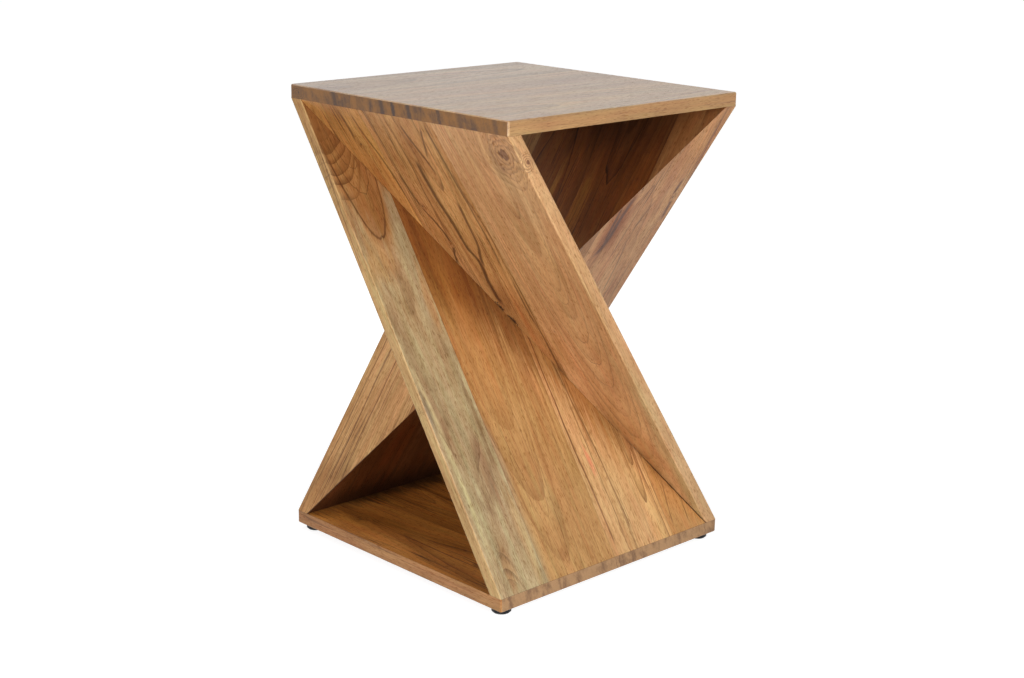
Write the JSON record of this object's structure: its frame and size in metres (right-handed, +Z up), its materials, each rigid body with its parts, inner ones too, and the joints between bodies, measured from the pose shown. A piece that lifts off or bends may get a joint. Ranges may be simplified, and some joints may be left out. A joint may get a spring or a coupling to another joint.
{
  "type": "accent table",
  "caption": "Square wooden side table whose top and base are joined by two folded wings of triangular panels crossing in the middle, on low round glides.",
  "frame": {"origin": "middle of the square footprint, on the ground under the glides", "axes": "+Z up; +X to the right along the front face, which has the free edge of the front wing's upper panel falling from its upper left to its lower right; +Y from the front to the back"},
  "size_m": [0.406, 0.406, 0.61],
  "materials": {
    "top_wood": "clear satin lacquer on acacia",
    "base_wood": "clear satin lacquer on acacia",
    "front_upper_wood": "clear satin lacquer on acacia",
    "front_lower_wood": "clear satin lacquer on acacia",
    "back_upper_wood": "clear satin lacquer on acacia",
    "back_lower_wood": "clear satin lacquer on acacia",
    "dowel_wood": "bare beech",
    "glide_plastic": "black",
    "pin_steel": "zinc plated"
  },
  "bodies": {
    "root": {"top_stave_front": "top_wood", "top_stave_middle": "top_wood", "top_stave_back": "top_wood", "base_stave_left": "base_wood", "base_stave_mid_left": "base_wood", "base_stave_mid_right": "base_wood", "base_stave_right": "base_wood", "front_upper_stave_1": "front_upper_wood", "front_upper_stave_2": "front_upper_wood", "front_upper_stave_3": "front_upper_wood", "front_lower_stave_1": "front_lower_wood", "front_lower_stave_2": "front_lower_wood", "front_lower_stave_3": "front_lower_wood", "front_lower_stave_4": "front_lower_wood", "back_upper_stave_1": "back_upper_wood", "back_upper_stave_2": "back_upper_wood", "back_upper_stave_3": "back_upper_wood", "back_upper_stave_4": "back_upper_wood", "back_lower_stave_1": "back_lower_wood", "back_lower_stave_2": "back_lower_wood", "back_lower_stave_3": "back_lower_wood", "front_upper_dowels": "dowel_wood", "front_lower_dowels": "dowel_wood", "back_upper_dowels": "dowel_wood", "back_lower_dowels": "dowel_wood", "front_mitre_splines": "dowel_wood", "back_mitre_splines": "dowel_wood", "crossing_dowel": "dowel_wood", "glide_front_left": "glide_plastic", "glide_front_right": "glide_plastic", "glide_back_left": "glide_plastic", "glide_back_right": "glide_plastic", "glide_pins": "pin_steel"}
  },
  "joints": []
}
